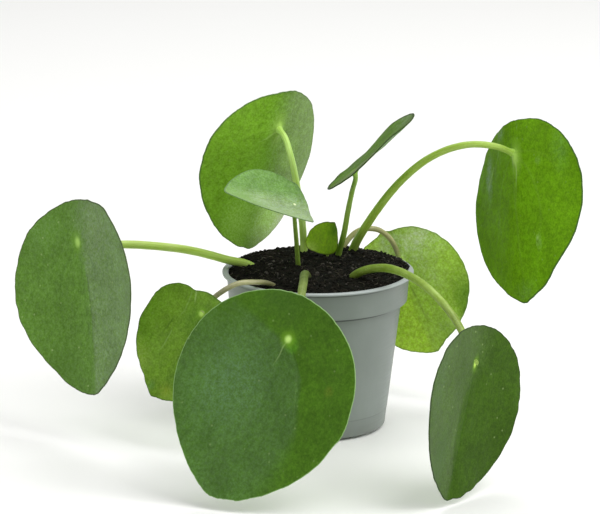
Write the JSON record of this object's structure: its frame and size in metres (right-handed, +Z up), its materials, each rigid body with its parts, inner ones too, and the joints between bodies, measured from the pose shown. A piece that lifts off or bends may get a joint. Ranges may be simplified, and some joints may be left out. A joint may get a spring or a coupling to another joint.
{
  "type": "potted chinese money plant",
  "caption": "Round-leaved houseplant: shield-shaped leaves on long arching stems rise from dark soil in a small tapered plastic nursery pot.",
  "frame": {"origin": "middle of the pot's underside, on the round flat pad that the pot rests on", "axes": "+Z up along the pot's axis, +X to the right and +Y away from the viewer, who faces the side that the largest leaf hangs on"},
  "size_m": [0.2635, 0.2037, 0.1561],
  "materials": {
    "pot_plastic": "satin moulded polypropylene, blue-grey",
    "peat_soil": "moist dark peat with fibres",
    "root_bark": "rough brown bark",
    "leaf_stem": "smooth satin light green",
    "tan_stem": "smooth satin, dry tan with a green tint",
    "leaf_upper": "waxy satin dark green, faint veins",
    "leaf_under": "satin bright green with pale veins"
  },
  "bodies": {
    "root": {"pot": "pot_plastic", "soil": "peat_soil", "rootstock": "root_bark", "stem_far_left": "leaf_stem", "leaf_far_left": "leaf_upper", "stem_low_left": "tan_stem", "leaf_low_left": "leaf_upper", "stem_front": "leaf_stem", "leaf_front": "leaf_upper", "stem_back_left": "leaf_stem", "leaf_back_left": "leaf_under", "stem_small_left": "leaf_stem", "leaf_small_left": "leaf_upper", "stem_upper_middle": "leaf_stem", "leaf_upper_middle": "leaf_upper", "stem_upper_right": "leaf_stem", "leaf_upper_right": "leaf_under", "stem_back_right": "tan_stem", "leaf_back_right": "leaf_under", "stem_low_right": "leaf_stem", "leaf_low_right": "leaf_upper", "stem_newest": "leaf_stem", "leaf_newest": "leaf_upper"}
  },
  "joints": []
}
